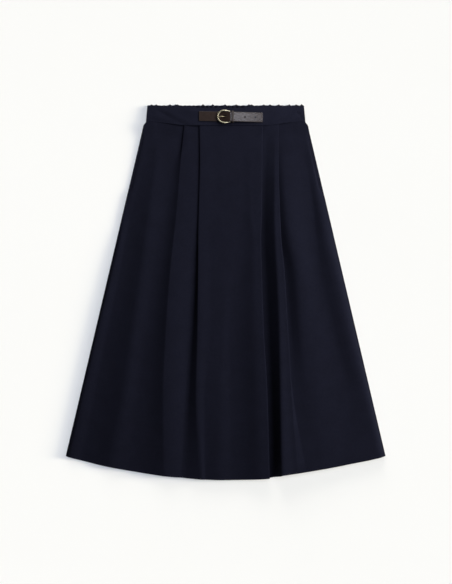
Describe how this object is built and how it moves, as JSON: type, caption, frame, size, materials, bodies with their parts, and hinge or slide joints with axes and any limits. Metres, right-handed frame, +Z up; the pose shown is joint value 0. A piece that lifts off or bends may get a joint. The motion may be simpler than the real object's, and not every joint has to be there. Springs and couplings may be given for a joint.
{
  "type": "pleated midi skirt",
  "caption": "A-line midi skirt laid flat, front up: smooth front band with a buckled leather belt detail, gathered elastic back band, knife pleats that open into flutes towards a curved hem.",
  "frame": {"origin": "on the surface the skirt lies on, under the middle of its outline", "axes": "+Y from the hem to the waist, +X to the viewer's right as the front is seen, +Z up out of the surface"},
  "size_m": [0.673, 0.7873, 0.03],
  "materials": {
    "cloth": "matt navy twill with a soft drape",
    "cloth_inside": "matt, the wrong side of the same navy twill",
    "leather": "dark brown, semi-gloss",
    "brass": "polished light gold"
  },
  "bodies": {
    "root": {"skirt_front": "cloth", "skirt_back": "cloth", "waistband_front": "cloth", "waistband_back": "cloth_inside", "pocket_facing_left": "cloth_inside", "pocket_facing_right": "cloth_inside", "belt_strap": "leather", "belt_tab": "leather", "belt_keeper": "leather", "buckle_frame": "brass", "buckle_prong": "brass"}
  },
  "joints": []
}
